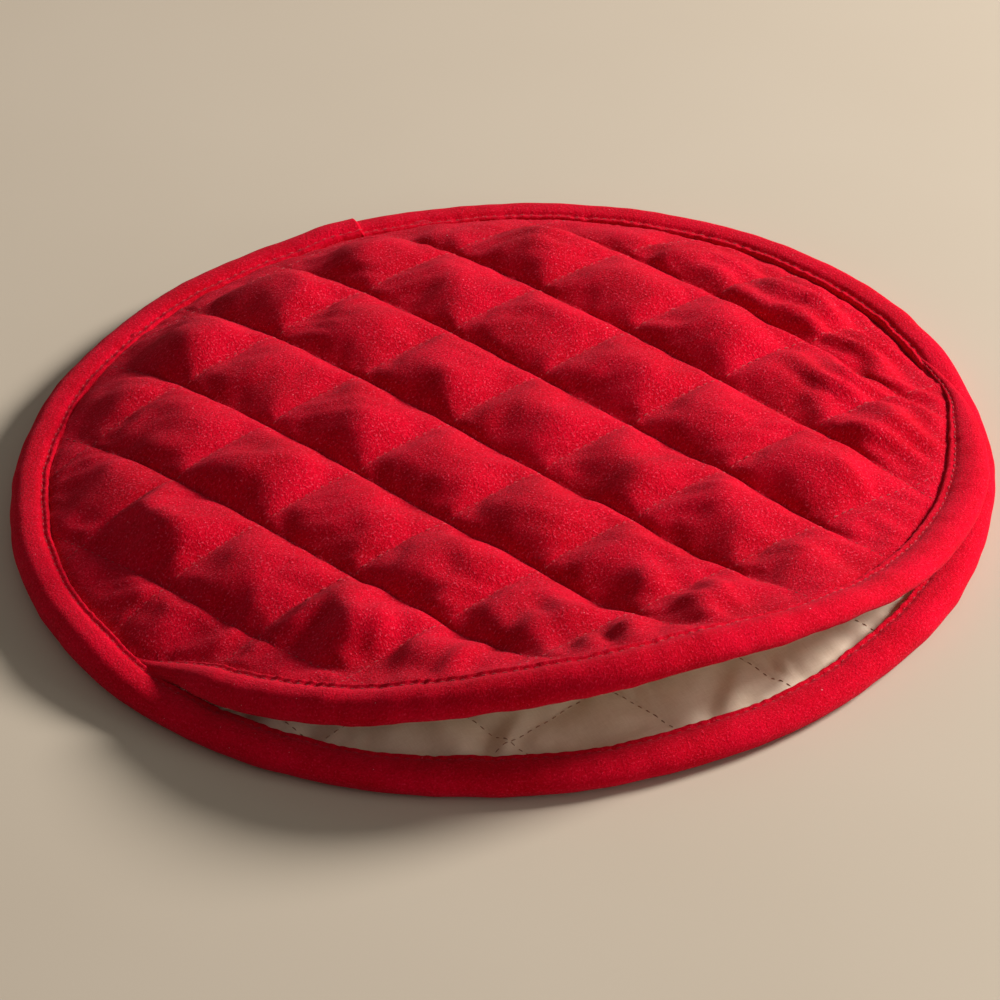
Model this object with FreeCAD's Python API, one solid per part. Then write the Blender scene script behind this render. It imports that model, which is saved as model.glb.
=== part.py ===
import FreeCAD, Part
import math
import os

# Round quilted cloth pouch for keeping flat breads warm.
# Two quilted discs, each a shell, a batting and a lining, are bound together round the back.
# The front edge of the upper disc is left loose and stands open as a flap.
# Millimetres, +Z up, origin under the centre of the disc on the table, mouth towards -Y.

Vector = FreeCAD.Vector
Z_AXIS = Vector(0, 0, 1)
ORIGIN = Vector(0, 0, 0)

# Disc and bindings
disc_radius = 152.5
binding_width = 11.5
tape_thickness = 1.2
tape_nose = 2.5
allowance_width = 6.5
rim_foot = 1.0
rim_foot_bulge = 1.5
rim_back_top = 10.9
rim_back_bulge = 0.6
rim_mouth_top = 6.9
rim_mouth_bulge = 1.0
lip_bottom = 4.8
lip_top = 11.0
lip_bulge = 0.9
lap_angle = 79.0
lap_length = 11.0
lap_thickness = 0.9

# Quilting: two families of stitch lines that cross at the corners of diamonds
quilt_angle_1 = 10.4
quilt_angle_2 = 106.2
quilt_edge_1 = 36.9
quilt_edge_2 = 39.0
quilt_centre_x = 13.9
quilt_centre_y = -2.6
lower_quilt_offset = 12.9
edge_puff_share = 0.2
edge_puff_reach = 40.0

# Cloth layers
shell_thickness = 0.7
lining_thickness = 0.6
panel_valley_thickness = 2.6
upper_puff_outside = 5.0
upper_puff_inside = 1.5
lower_puff_outside = 3.1
lower_puff_inside = 2.6
lower_lining_valley = 5.1

# Shape of the upper panel: a crown, and a flap that is tilted open past the fold
upper_rim_height = 9.4
crown_height = 11.5
crown_power = 4
mouth_half_angle = 74.0
flap_tilt = 13.0
flap_flattening_length = 58.0
fold_gap = 0.3

# Clearances and thread
table_level = 0.0
clearance = 0.4
thread_width = 0.6
thread_gap = 0.2
stitch_inset = 0.6

seam_radius = disc_radius - binding_width
fold_distance = disc_radius * math.cos(math.radians(mouth_half_angle))
tilt = math.radians(flap_tilt)
rim_middle_height = (lip_bottom + lip_top) / 2
# The lip starts where its underside, tilted up, has cleared the lower binding
lip_lowest = rim_middle_height + (lip_bottom - lip_bulge - rim_middle_height) * math.cos(tilt)
lip_start = (rim_mouth_top + rim_mouth_bulge + clearance - lip_lowest) / math.sin(tilt)
flap_side_limit = math.sqrt((seam_radius - clearance) ** 2 - (fold_distance + lip_start) ** 2)
rim_back_end_angle = math.degrees(math.asin((fold_distance + lip_start - 4 * clearance) / disc_radius))
allowance_outer = seam_radius + allowance_width
under_panel = -panel_valley_thickness - thread_gap - thread_width
far = 2 * disc_radius


def smooth(t):
    t = max(0.0, min(1.0, t))
    return t * t * (3 - 2 * t)


def direction(angle):
    return Vector(math.cos(math.radians(angle)), math.sin(math.radians(angle)), 0)


quilt_step_1 = direction(quilt_angle_1) * quilt_edge_1
quilt_step_2 = direction(quilt_angle_2) * quilt_edge_2
upper_quilt_first = Vector(quilt_centre_x, quilt_centre_y, 0) - (quilt_step_1 + quilt_step_2) * 0.5
lower_quilt_first = upper_quilt_first - direction(quilt_angle_1) * lower_quilt_offset


def crossing(first, m, n):
    """Plan position where stitch line m of one family crosses line n of the other."""
    return first + quilt_step_1 * m + quilt_step_2 * n


def cells(first):
    """Diamonds that reach inside the disc, as the indices of their first corner."""
    reach = int(disc_radius / min(quilt_edge_1, quilt_edge_2)) + 2
    found = []
    for m in range(-reach, reach + 1):
        for n in range(-reach, reach + 1):
            samples = [crossing(first, m + i / 2, n + j / 2) for i in range(3) for j in range(3)]
            if min(p.Length for p in samples) < disc_radius:
                found.append((m, n))
    return found


def upper_valley(p):
    """Height of the upper panel along its stitch lines: crowned, then rising past the fold."""
    past_fold = max(0.0, -p.y - fold_distance)
    crown = crown_height * (1 - min(1.0, p.Length / seam_radius) ** crown_power)
    crown = crown * (1 - smooth(past_fold / flap_flattening_length))
    return upper_rim_height + crown + past_fold * math.tan(tilt)


def lower_valley(p):
    return lower_lining_valley


def at_height(p, z):
    return Vector(p.x, p.y, z)


def pillow(corners, puff):
    """One diamond as a loft from a straight stitch row, over an arc, to the next row."""
    a, b, c, d = corners
    middle = (a + b + c + d) * 0.25
    share = (seam_radius - at_height(middle, 0).Length) / edge_puff_reach
    share = max(edge_puff_share, min(1.0, share))
    crown = middle + Z_AXIS * (puff * share)
    first = Part.Wire([Part.makeLine(a, b)])
    over = Part.Wire([Part.Arc((a + d) * 0.5, crown, (b + c) * 0.5).toShape()])
    last = Part.Wire([Part.makeLine(d, c)])
    return Part.makeLoft([first, over, last], False, False).Faces


def ply(first, valley, top, top_puff, bottom, bottom_puff):
    """A quilted layer between two pillowed faces, given by their offsets from the valley."""
    faces = []
    edges = {}
    for m, n in cells(first):
        ring = [(m, n), (m + 1, n), (m + 1, n + 1), (m, n + 1)]
        plan = [crossing(first, *corner) for corner in ring]
        for offset, puff in ((top, top_puff), (bottom, bottom_puff)):
            faces += pillow([at_height(p, valley(p) + offset) for p in plan], puff)
        for edge in ((ring[0], ring[1]), (ring[1], ring[2]), (ring[3], ring[2]), (ring[0], ring[3])):
            edges[edge] = edges.get(edge, 0) + 1
    for (start, end), count in edges.items():
        if count == 1:
            p, q = crossing(first, *start), crossing(first, *end)
            low = [at_height(p, valley(p) + bottom), at_height(q, valley(q) + bottom)]
            high = [at_height(q, valley(q) + top), at_height(p, valley(p) + top)]
            faces.append(Part.Face(Part.makePolygon(low + high + low[:1])))
    skin = Part.makeShell(faces)
    skin.sewShape()
    solid = Part.makeSolid(skin)
    if solid.Volume < 0:
        solid.reverse()
    return solid


def section_point(r, z):
    return Vector(r, 0, z)


def three_arcs(z_low, low_bulge, z_high, high_bulge, inset):
    """Outline of a binding from its lower inner edge, round the nose, to its upper inner edge."""
    nose_start = disc_radius - tape_nose
    middle = (seam_radius + nose_start) / 2
    bottom, top = z_low + inset, z_high - inset
    low_nose = section_point(nose_start - inset / 2, bottom + high_bulge / 2)
    high_nose = section_point(nose_start - inset / 2, top - high_bulge / 2)
    tip = section_point(disc_radius - inset, (bottom + top) / 2)
    under = section_point(middle, z_low - low_bulge + inset)
    over = section_point(middle, z_high + high_bulge - inset)
    return [
        Part.Arc(section_point(seam_radius, bottom), under, low_nose).toShape(),
        Part.Arc(low_nose, tip, high_nose).toShape(),
        Part.Arc(high_nose, over, section_point(seam_radius, top)).toShape(),
    ]


def turned(face, start, sweep):
    """Turn a section about the disc's axis, from an angle and through a sweep in degrees."""
    solid = face.copy()
    solid.rotate(ORIGIN, Z_AXIS, start)
    return solid.revolve(ORIGIN, Z_AXIS, sweep)


def joined_face(edges):
    return Part.Face(Part.Wire(Part.__sortEdges__(edges)))


def binding(z_low, low_bulge, z_high, high_bulge, start, sweep):
    """Cloth tape folded round an edge: a U section turned about the disc's axis."""
    outside = three_arcs(z_low, low_bulge, z_high, high_bulge, 0)
    inside = three_arcs(z_low, low_bulge, z_high, high_bulge, tape_thickness)
    ends = []
    for edge, inner_edge in ((z_low, z_low + tape_thickness), (z_high, z_high - tape_thickness)):
        ends.append(Part.makeLine(section_point(seam_radius, edge), section_point(seam_radius, inner_edge)))
    return turned(joined_face(outside + inside + ends), start, sweep)


def disc(floor):
    """Space that a quilted panel may fill: out to the seam, and up from a floor."""
    return Part.makeCylinder(seam_radius, far - floor, Vector(0, 0, floor))


def seam_allowance(top, start, sweep):
    """The three layers of a panel pressed flat inside the binding."""
    low = top - panel_valley_thickness
    corners = [(seam_radius, low), (allowance_outer, low), (allowance_outer, top), (seam_radius, top)]
    outline = Part.makePolygon([section_point(r, z) for r, z in corners + corners[:1]])
    return turned(Part.Face(outline), start, sweep)


def tilted(shape):
    """Swing a piece of the flap up from flat about the fold line."""
    lifted = shape.copy()
    lifted.rotate(Vector(0, -fold_distance, rim_middle_height), Vector(-1, 0, 0), flap_tilt)
    return lifted


def block(x_half, y_low, y_high):
    return Part.makeBox(2 * x_half, y_high - y_low, 2 * far, Vector(-x_half, y_low, -far))


def flap_plan(p):
    """Plan position of a point of the flap when it is swung back down flat."""
    past_fold = -p.y - fold_distance
    return Vector(p.x, -fold_distance - past_fold / math.cos(tilt), 0)


def on_back(p):
    return p.y > -fold_distance and p.Length < seam_radius - clearance


def on_flap(p):
    if p.y > -fold_distance - fold_gap:
        return False
    if p.y > -fold_distance - lip_start:
        return abs(p.x) < flap_side_limit
    return flap_plan(p).Length < seam_radius - clearance


def on_lower(p):
    return p.Length < seam_radius - clearance


def stitch_row(corners, valley, bottom, inside):
    """A thread of square section along one stitch line, bent at each crossing."""
    route = []
    for p, q in zip(corners, corners[1:]):
        steps = int((q - p).Length / thread_width)
        samples = [p + (q - p) * (k / steps) for k in range(steps + 1)]
        samples = [c for c in samples if inside(c)]
        if len(samples) > 1:
            levels = [at_height(c, valley(p) + (valley(q) - valley(p)) * (c - p).Length / (q - p).Length)
                      for c in (samples[0], samples[-1])]
            route += levels[len(route) > 0:]
    if not route:
        return []
    low = [c + Z_AXIS * bottom for c in route]
    high = [c + Z_AXIS * (bottom + thread_width) for c in reversed(route)]
    across = (corners[1] - corners[0]).cross(Z_AXIS).normalize() * thread_width
    side = Part.Face(Part.makePolygon(low + high + low[:1]))
    side.translate(across * -0.5)
    return [side.extrude(across)]


def thread_net(first, valley, bottom, inside):
    """All stitch rows of one face of a panel, joined where they cross."""
    quilt = cells(first)
    indices = range(min(min(cell) for cell in quilt), max(max(cell) for cell in quilt) + 2)
    rows = []
    for line in indices:
        rows += stitch_row([crossing(first, line, k) for k in indices], valley, bottom, inside)
        rows += stitch_row([crossing(first, k, line) for k in indices], valley, bottom, inside)
    return rows[0].multiFuse(rows[1:])


def seam_stitch(z_low, low_bulge, z_high, high_bulge, upper_side, start, sweep):
    """Row of stitches near the inner edge of a binding, on its upper or its lower side."""
    arc = three_arcs(z_low, low_bulge, z_high, high_bulge, 0)[2 if upper_side else 0]
    r = seam_radius + stitch_inset
    wall = Part.makeLine(section_point(r, -far), section_point(r, far))
    surface = wall.distToShape(arc)[1][0][0]
    along = arc.Curve.tangent(arc.Curve.parameter(surface))[0]
    outwards = Vector(-along.z, 0, along.x)
    if (outwards.z > 0) != upper_side:
        outwards = outwards * -1
    middle = surface + outwards * ((thread_width + thread_gap) / 2)
    ring = Part.Wire([Part.makeCircle(thread_width / 2, middle, Vector(0, 1, 0))])
    return turned(Part.Face(ring), start, sweep)


def back_range():
    return -rim_back_end_angle, 180 + 2 * rim_back_end_angle


def mouth_range():
    return 180 + rim_back_end_angle, 180 - 2 * rim_back_end_angle


rim_back_section = (rim_foot, rim_foot_bulge, rim_back_top, rim_back_bulge)
rim_mouth_section = (rim_foot, rim_foot_bulge, rim_mouth_top, rim_mouth_bulge)
lip_section = (lip_bottom, lip_bulge, lip_top, lip_bulge)
above_table = Part.makeBox(2 * far, 2 * far, far, Vector(-far, -far, table_level))
beyond_lip_start = block(far, -far, -fold_distance - lip_start)


def rim_binding():
    """One tape round the whole disc, tall over both panels and low across the mouth."""
    tape = binding(*rim_back_section, *back_range()).fuse(binding(*rim_mouth_section, *mouth_range()))
    sweep = math.degrees(lap_length / disc_radius)
    outline = three_arcs(*rim_back_section, 0)
    raised = three_arcs(rim_foot, rim_foot_bulge, rim_back_top, rim_back_bulge + lap_thickness, 0)
    closing = Part.makeLine(section_point(seam_radius, rim_foot), section_point(seam_radius, rim_back_top))
    lap = turned(joined_face(raised + [closing]), lap_angle, sweep)
    lap = lap.cut(turned(joined_face(outline + [closing]), lap_angle, sweep))
    lap = lap.cut(Part.makeCylinder(seam_radius + stitch_inset + thread_width, far))
    return tape.fuse(lap).removeSplitter().common(above_table)


def rim_binding_stitch():
    return Part.makeCompound([
        seam_stitch(*rim_back_section, True, *back_range()),
        seam_stitch(*rim_mouth_section, True, *mouth_range()),
        seam_stitch(*rim_back_section, False, 0, 360),
    ])


def mouth_binding():
    return tilted(binding(*lip_section, 180, 180).common(beyond_lip_start))


def mouth_binding_stitch():
    rows = [seam_stitch(*lip_section, side, 180, 180).common(beyond_lip_start) for side in (True, False)]
    return tilted(Part.makeCompound(rows))


def quilted_layers(first, valley, outer_puff, inner_puff, outside_is_up):
    """Shell, batting and lining of a panel, before they are trimmed to the disc."""
    if outside_is_up:
        levels = [0, -shell_thickness, lining_thickness - panel_valley_thickness, -panel_valley_thickness]
        puffs = [outer_puff, outer_puff, -inner_puff, -inner_puff]
    else:
        levels = [0, -lining_thickness, shell_thickness - panel_valley_thickness, -panel_valley_thickness]
        puffs = [inner_puff, inner_puff, -outer_puff, -outer_puff]
    layers = [ply(first, valley, levels[k], puffs[k], levels[k + 1], puffs[k + 1]) for k in range(3)]
    names = ["shell", "batting", "lining"]
    return dict(zip(names if outside_is_up else names[::-1], layers))


def lower_panel():
    first = lower_quilt_first
    layers = quilted_layers(first, lower_valley, lower_puff_outside, lower_puff_inside, False)
    parts = {"lower_" + name: layer.common(disc(table_level)) for name, layer in layers.items()}
    parts["lower_lining_stitches"] = thread_net(first, lower_valley, thread_gap, on_lower)
    parts["lower_shell_stitches"] = thread_net(first, lower_valley, under_panel, on_lower)
    parts["lower_seam_allowance"] = seam_allowance(lower_lining_valley, 0, 360)
    return parts


def upper_panel():
    near_fold = block(flap_side_limit, -fold_distance - lip_start, -fold_distance - fold_gap)
    back_space = disc(table_level).common(block(far, -fold_distance, far))
    flap_space = tilted(disc(-far)).common(near_fold.fuse(beyond_lip_start))
    first = upper_quilt_first
    layers = quilted_layers(first, upper_valley, upper_puff_outside, upper_puff_inside, True)
    parts = {}
    for place, space, inside in (("back", back_space, on_back), ("flap", flap_space, on_flap)):
        for name, layer in layers.items():
            parts["upper_" + name + "_" + place] = layer.common(space)
        parts["upper_shell_stitches_" + place] = thread_net(first, upper_valley, thread_gap, inside)
        parts["upper_lining_stitches_" + place] = thread_net(first, upper_valley, under_panel, inside)
    back = seam_allowance(upper_rim_height, *back_range())
    parts["upper_seam_allowance_back"] = back.common(block(far, -fold_distance, far))
    flap = seam_allowance(upper_rim_height, 180, 180)
    parts["upper_seam_allowance_flap"] = tilted(flap.common(beyond_lip_start))
    return parts


def build():
    parts = {}
    parts.update(lower_panel())
    parts.update(upper_panel())
    parts["rim_binding"] = rim_binding()
    parts["rim_binding_stitches"] = rim_binding_stitch()
    parts["mouth_binding"] = mouth_binding()
    parts["mouth_binding_stitches"] = mouth_binding_stitch()
    return parts


os.makedirs("parts", exist_ok=True)
for node, shape in build().items():
    shape.exportStep("parts/" + node + ".step")
    print(node, len(shape.Solids), "solids", round(shape.Volume), "mm3")
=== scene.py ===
"""Round quilted cloth pouch for keeping flat breads warm: its cloth, bindings and threads,
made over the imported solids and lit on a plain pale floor."""
import math

import bpy
import numpy as np
from mathutils import Matrix, Vector


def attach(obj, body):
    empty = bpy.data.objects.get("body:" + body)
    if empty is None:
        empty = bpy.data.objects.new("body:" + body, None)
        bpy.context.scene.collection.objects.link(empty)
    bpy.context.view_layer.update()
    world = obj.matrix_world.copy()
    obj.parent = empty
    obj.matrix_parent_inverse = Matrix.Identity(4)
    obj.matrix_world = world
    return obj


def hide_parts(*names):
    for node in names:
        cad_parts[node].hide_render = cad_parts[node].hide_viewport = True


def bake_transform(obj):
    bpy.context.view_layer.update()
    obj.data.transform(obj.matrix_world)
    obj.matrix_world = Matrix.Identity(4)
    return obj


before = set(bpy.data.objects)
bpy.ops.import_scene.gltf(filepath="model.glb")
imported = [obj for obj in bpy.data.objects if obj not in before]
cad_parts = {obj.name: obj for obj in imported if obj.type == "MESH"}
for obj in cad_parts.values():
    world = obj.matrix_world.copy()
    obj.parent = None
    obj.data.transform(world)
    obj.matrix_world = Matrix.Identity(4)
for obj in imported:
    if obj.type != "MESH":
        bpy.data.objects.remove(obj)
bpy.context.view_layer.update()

MM = 0.001
TURN = 2 * math.pi

# The solids' own measures, in millimetres
RIM_RADIUS = 152.5
SEAM_RADIUS = 141.0
FOLD_DISTANCE = 42.03
FLAP_SLOPE = math.tan(math.radians(13.0))
FLAP_LEVELLING = 58.0
UPPER_RIM = 9.4
CROWN = 11.5
CROWN_POWER = 4
PANEL_THICKNESS = 2.6
LINING_THICKNESS = 0.6
LOWER_VALLEY = 5.1
LAP_ANGLE = 79.0

# Quilting: edges and headings of its diamonds, the middle of one of them, and how far the
# lower panel's are shifted
QUILT_EDGE_1, QUILT_EDGE_2 = 36.9, 39.0
QUILT_ANGLE_1, QUILT_ANGLE_2 = math.radians(10.4), math.radians(106.2)
QUILT_CENTRE = np.array([13.9, -2.6])
LOWER_QUILT_OFFSET = 12.9
QUILT_STEP_1 = QUILT_EDGE_1 * np.array([math.cos(QUILT_ANGLE_1), math.sin(QUILT_ANGLE_1)])
QUILT_STEP_2 = QUILT_EDGE_2 * np.array([math.cos(QUILT_ANGLE_2), math.sin(QUILT_ANGLE_2)])
UPPER_FIRST = QUILT_CENTRE - (QUILT_STEP_1 + QUILT_STEP_2) / 2
LOWER_FIRST = UPPER_FIRST - QUILT_STEP_1 * (LOWER_QUILT_OFFSET / QUILT_EDGE_1)

# Heights of the pillows on each side of a panel's stitch lines
OUTER_PUFF = 7.7
INNER_PUFF = 1.5
LOWER_OUTER_PUFF = 3.1
LOWER_INNER_PUFF = 3.8

# Form of a pillow. The shares are of its height
TENT_SHARE = 0.65
LINE_HEIGHT = 0.03
SHALLOW_LINE_HEIGHT = 0.31
HIP_SHARPNESS = 3.0
PUFF_AT_SEAM = 0.04
PUFF_SEAM_REACH = 30
PUFF_LEAN, LEAN_WAVE = 0.11, 58
PUFF_UNEVENNESS = 0.2

# Creases and folds of the upper panel: where round the seam they gather, in degrees, how far
# they spread to each side, and their pitches and heights
CREASE_HEIGHT, FINE_CREASE_HEIGHT = 0.45, 0.12
CELL_FOLDS_PER_STEP, CELL_FOLD_HEIGHT = 3.3, 0.5
RIGHT_FOLDS_AT, RIGHT_FOLDS_SPREAD = -8.0, 32.0
RIGHT_FOLDS_PER_STEP, RIGHT_FOLD_HEIGHT = 3.15, 1.7
FRONT_DENTS_AT, FRONT_DENTS_SPREAD = -114.0, 42.0
DENT_PITCH, FRONT_DENT_HEIGHT = 19.0, 1.1
SLIGHT_FOLD_HEIGHT = 0.2
CRUMPLE_HEIGHT = 0.8
# How far in from the seam they are full, begin to fade and are gone
FOLD_BAND, RIGHT_FOLD_BAND, CRUMPLE_BAND = (13, 16, 50), (9, 24, 58), (12, 35, 75)
DITCH_DEPTH, DITCH_WIDTH = 1.3, 1.7
GATHERS_ON_LINES = 0.3

# Creases and folds of the lower lining
LINING_CREASE_HEIGHT, LINING_FINE_CREASE_HEIGHT = 0.33, 0.18
LINING_FOLD_PITCH, LINING_FOLD_HEIGHT = 24.0, 1.1
LINING_FINE_FOLD_PITCH, LINING_FINE_FOLD_HEIGHT = 9.5, 0.5

# Simulation of the upper panel's red cloth
BLOWN_PRESSURE = 5.0
BLOWN_GROWTH = 0.02
BLOWN_STEPS = 18
BLOWN_LIMIT = 2.5
SEWN_MARGIN = 0.6
SMOOTHING_ROUNDS = 3

# Tapes: how far a panel reaches under its tape, where it enters the lip's, the rim's place and
# heights, the lap of its two ends (its step, length and fade are in degrees), and the pitch of
# the dents
UNDER_TAPE = 2.6
LIP_HALF_WIDTH = 6.5
LIP_SEAM_RISE = 1.3
RIM_TAPE_MIDDLE = 146.4
BACK_TAPE_HEIGHT = 12.1
MOUTH_TAPE_HEIGHT = 9.2
FAR_BACK_SINK = 1.7
LAP_RISE, LAP_OUT = 1.3, 0.7
LAP_STEP, LAP_LENGTH, LAP_FADE = 0.5, 3.0, 9.0
PUCKER_PITCH = 4.6

# Stitches, the point of a tape's section on which they lie, and the least gap between cloths
STITCH_LENGTH, STITCH_WIDTH, STITCH_HEIGHT = 2.3, 0.42, 0.36
STITCH_PITCH = 3.1
STITCH_DIP = 0.32
STITCHED_POINT = 9
TOUCHING = 0.02

# Middle of the lip from its right end round the front to its left end: angle in degrees,
# radius, height, tilt of its section in degrees, and shares of its full width and thickness
LIP = np.array([
    (-4.0, 141.5, 9.0, 0.0, 0.12, 0.20),
    (-11.0, 142.6, 10.6, 0.0, 0.18, 0.24),
    (-19.1, 144.3, 12.2, 0.0, 0.36, 0.38),
    (-26.4, 144.2, 13.6, 2.0, 0.72, 0.55),
    (-36.6, 144.3, 14.8, 3.0, 1.0, 0.70),
    (-51.0, 143.2, 17.2, 4.0, 1.06, 0.74),
    (-57.6, 142.9, 19.6, 6.0, 1.08, 0.76),
    (-66.5, 142.6, 24.1, 10.0, 1.06, 0.80),
    (-75.7, 142.5, 29.8, 14.0, 1.0, 0.86),
    (-82.8, 142.0, 32.6, 14.0, 0.98, 0.92),
    (-89.7, 141.4, 35.1, 9.0, 1.0, 1.0),
    (-96.0, 141.0, 36.5, 3.0, 1.0, 1.0),
    (-102.0, 141.1, 36.8, -1.0, 1.0, 1.02),
    (-108.0, 140.8, 36.0, -3.0, 1.0, 1.04),
    (-113.5, 140.2, 33.9, -4.0, 1.0, 1.04),
    (-119.4, 140.1, 31.8, -4.0, 1.0, 1.04),
    (-125.0, 139.8, 29.4, -4.0, 1.0, 1.04),
    (-130.8, 139.5, 26.6, -4.0, 1.0, 1.02),
    (-136.6, 139.5, 23.1, -3.0, 1.0, 1.0),
    (-143.0, 139.1, 20.0, -2.0, 1.0, 1.0),
    (-150.0, 138.3, 16.6, -2.0, 1.0, 0.98),
    (-157.5, 137.4, 13.6, 0.0, 0.92, 0.92),
    (-163.0, 137.2, 10.8, 0.0, 0.68, 0.62),
    (-167.0, 139.2, 8.5, 0.0, 0.42, 0.40),
    (-171.0, 141.4, 7.4, 0.0, 0.22, 0.30),
    (-175.0, 143.5, 6.4, 0.0, 0.15, 0.25),
])


def smooth(t):
    """Smoothstep: three times the square less twice the cube, held between 0 and 1."""
    t = np.clip(t, 0.0, 1.0)
    return t * t * (3 - 2 * t)


def angle_of(x, y):
    """Angle about the disc's middle in degrees, from 90 down to -270, so that the mouth is unbroken."""
    degrees = np.degrees(np.arctan2(y, x))
    return np.where(degrees > 90, degrees - 360, degrees)


def through(table, column, degrees):
    """Cubic through a column of a table against its first: each span is a Hermite curve
    whose end slopes are those of the chord between the two neighbouring rows."""
    at, value = table[::-1, 0], table[::-1, column]
    slope = np.gradient(value, at)
    degrees = np.clip(degrees, at[0], at[-1])
    k = np.clip(np.searchsorted(at, degrees) - 1, 0, len(at) - 2)
    span = at[k + 1] - at[k]
    t = (degrees - at[k]) / span
    return (value[k] * (1 + 2 * t) * (1 - t) ** 2 + slope[k] * span * t * (1 - t) ** 2
            + value[k + 1] * t * t * (3 - 2 * t) + slope[k + 1] * span * t * t * (t - 1))


def wave(turns):
    """Cosine of a number of turns."""
    return np.cos(TURN * turns)


def ripple(x, y, wavelength, seed, waves=9):
    """Smooth uneven field, mostly between -1 and 1: the sum of sine waves of nearly one length,
    in directions and phases drawn once, over the root of their number."""
    draw = np.random.default_rng(seed)
    total = 0
    for heading, phase, stretch in zip(draw.uniform(0, TURN, waves), draw.uniform(0, TURN, waves),
                                       draw.uniform(0.75, 1.35, waves)):
        along = x * math.cos(heading) + y * math.sin(heading)
        total = total + np.sin(TURN * along / (wavelength * stretch) + phase)
    return total / math.sqrt(waves)


def seam_in_mouth(degrees):
    """Radius and height of the upper panel's edge where the lip's tape holds it."""
    tilt = np.radians(through(LIP, 3, degrees))
    inset = LIP_HALF_WIDTH * through(LIP, 4, degrees)
    radius = through(LIP, 1, degrees) - inset * np.cos(tilt)
    height = through(LIP, 2, degrees) - inset * np.sin(tilt) + LIP_SEAM_RISE
    return radius, height


def share_of_mouth(degrees, ends=(-6, -174), fades=(12, 9)):
    """One along the mouth and nought round the back, turning smoothly just inside its right and
    left ends."""
    return smooth((ends[0] - degrees) / fades[0]) * smooth((degrees - ends[1]) / fades[1])


def upper_edge(degrees):
    """Radius of the upper panel's seam: the disc's round the back, the lip's along the mouth."""
    free = share_of_mouth(degrees)
    return SEAM_RADIUS * (1 - free) + seam_in_mouth(degrees)[0] * free


def crowned(x, y):
    """Crown that falls with the fourth power of the radius, levelled past the fold, where the
    flap rises at its tilt."""
    past_fold = np.maximum(0, -y - FOLD_DISTANCE)
    crown = CROWN * (1 - np.minimum(1, np.hypot(x, y) / SEAM_RADIUS) ** CROWN_POWER)
    return UPPER_RIM + crown * (1 - smooth(past_fold / FLAP_LEVELLING)) + past_fold * FLAP_SLOPE


def upper_valley(x, y, bend=7):
    """Height of the upper panel along its stitch lines: crowned, and near the mouth bent on to
    the lip's seam by a high power of the share of the way out."""
    degrees = angle_of(x, y)
    edge = upper_edge(degrees)
    turn = np.radians(degrees)
    there = crowned(edge * np.cos(turn), edge * np.sin(turn))
    rise = (seam_in_mouth(degrees)[1] - there) * share_of_mouth(degrees)
    return crowned(x, y) + rise * np.minimum(1, np.hypot(x, y) / edge) ** bend


def lower_edge(degrees):
    """Radius of the lower panel's seam, the same all round."""
    return SEAM_RADIUS + 0 * degrees


def room_inside(edge, x, y):
    """Distance in from a panel's seam."""
    return edge(angle_of(x, y)) - np.hypot(x, y)


def lattice(first, x, y):
    """Plan position counted in quilting steps along the two families of stitch lines."""
    steps = np.linalg.inv(np.column_stack([QUILT_STEP_1, QUILT_STEP_2]))
    dx, dy = x - first[0], y - first[1]
    return steps[0, 0] * dx + steps[0, 1] * dy, steps[1, 0] * dx + steps[1, 1] * dy


def plan(first, s, t):
    """Plan position of a point counted in quilting steps."""
    return (first[0] + QUILT_STEP_1[0] * s + QUILT_STEP_2[0] * t,
            first[1] + QUILT_STEP_1[1] * s + QUILT_STEP_2[1] * t)


def across(steps):
    """Rise from one stitch line to the next, 0 on a line and 1 half way: part tent and part
    power of a sine, which is steeper at the line."""
    share = steps - np.floor(steps)
    tent = 1 - np.abs(1 - 2 * share)
    return TENT_SHARE * tent + (1 - TENT_SHARE) * np.abs(np.sin(math.pi * share)) ** 0.6


def puff(first, x, y, edge):
    """Pillow between the stitch lines, from 0 to about 1. The rises across the two families
    join in a soft minimum, which leaves hips along a diamond's diagonals. One family is
    stitched less deep, so its lines bow up between the crossings. Pillows are lower near the
    seam, and no two are equally full or lean the same way: a cell's fullness is the sine of its
    two counts at unrelated rates."""
    s, t = lattice(first, x, y)
    lean_s = s + PUFF_LEAN * ripple(x, y, LEAN_WAVE, 17) * np.sin(math.pi * s) ** 2
    lean_t = t + PUFF_LEAN * ripple(x, y, LEAN_WAVE, 19) * np.sin(math.pi * t) ** 2
    deep = LINE_HEIGHT + (1 - LINE_HEIGHT) * across(lean_s)
    rise = np.abs(np.sin(math.pi * lean_t)) ** 1.2
    shallow = SHALLOW_LINE_HEIGHT + (1 - SHALLOW_LINE_HEIGHT) * rise
    sharp = HIP_SHARPNESS
    pillow = (deep ** -sharp + shallow ** -sharp) ** (-1 / sharp) * 2 ** (1 / sharp)
    room = room_inside(edge, x, y)
    share = PUFF_AT_SEAM + (1 - PUFF_AT_SEAM) * smooth(room / PUFF_SEAM_REACH)
    unevenness = PUFF_UNEVENNESS * np.sin(12.9898 * np.floor(s) + 78.233 * np.floor(t))
    return pillow * share * (1 + unevenness * np.minimum(deep, shallow))


def band(room, full, fading, gone):
    """Nought at the seam, one between two distances in from it, and nought again past a third,
    turning smoothly between them."""
    return smooth(room / full) * (1 - smooth((room - fading) / (gone - fading)))


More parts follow.
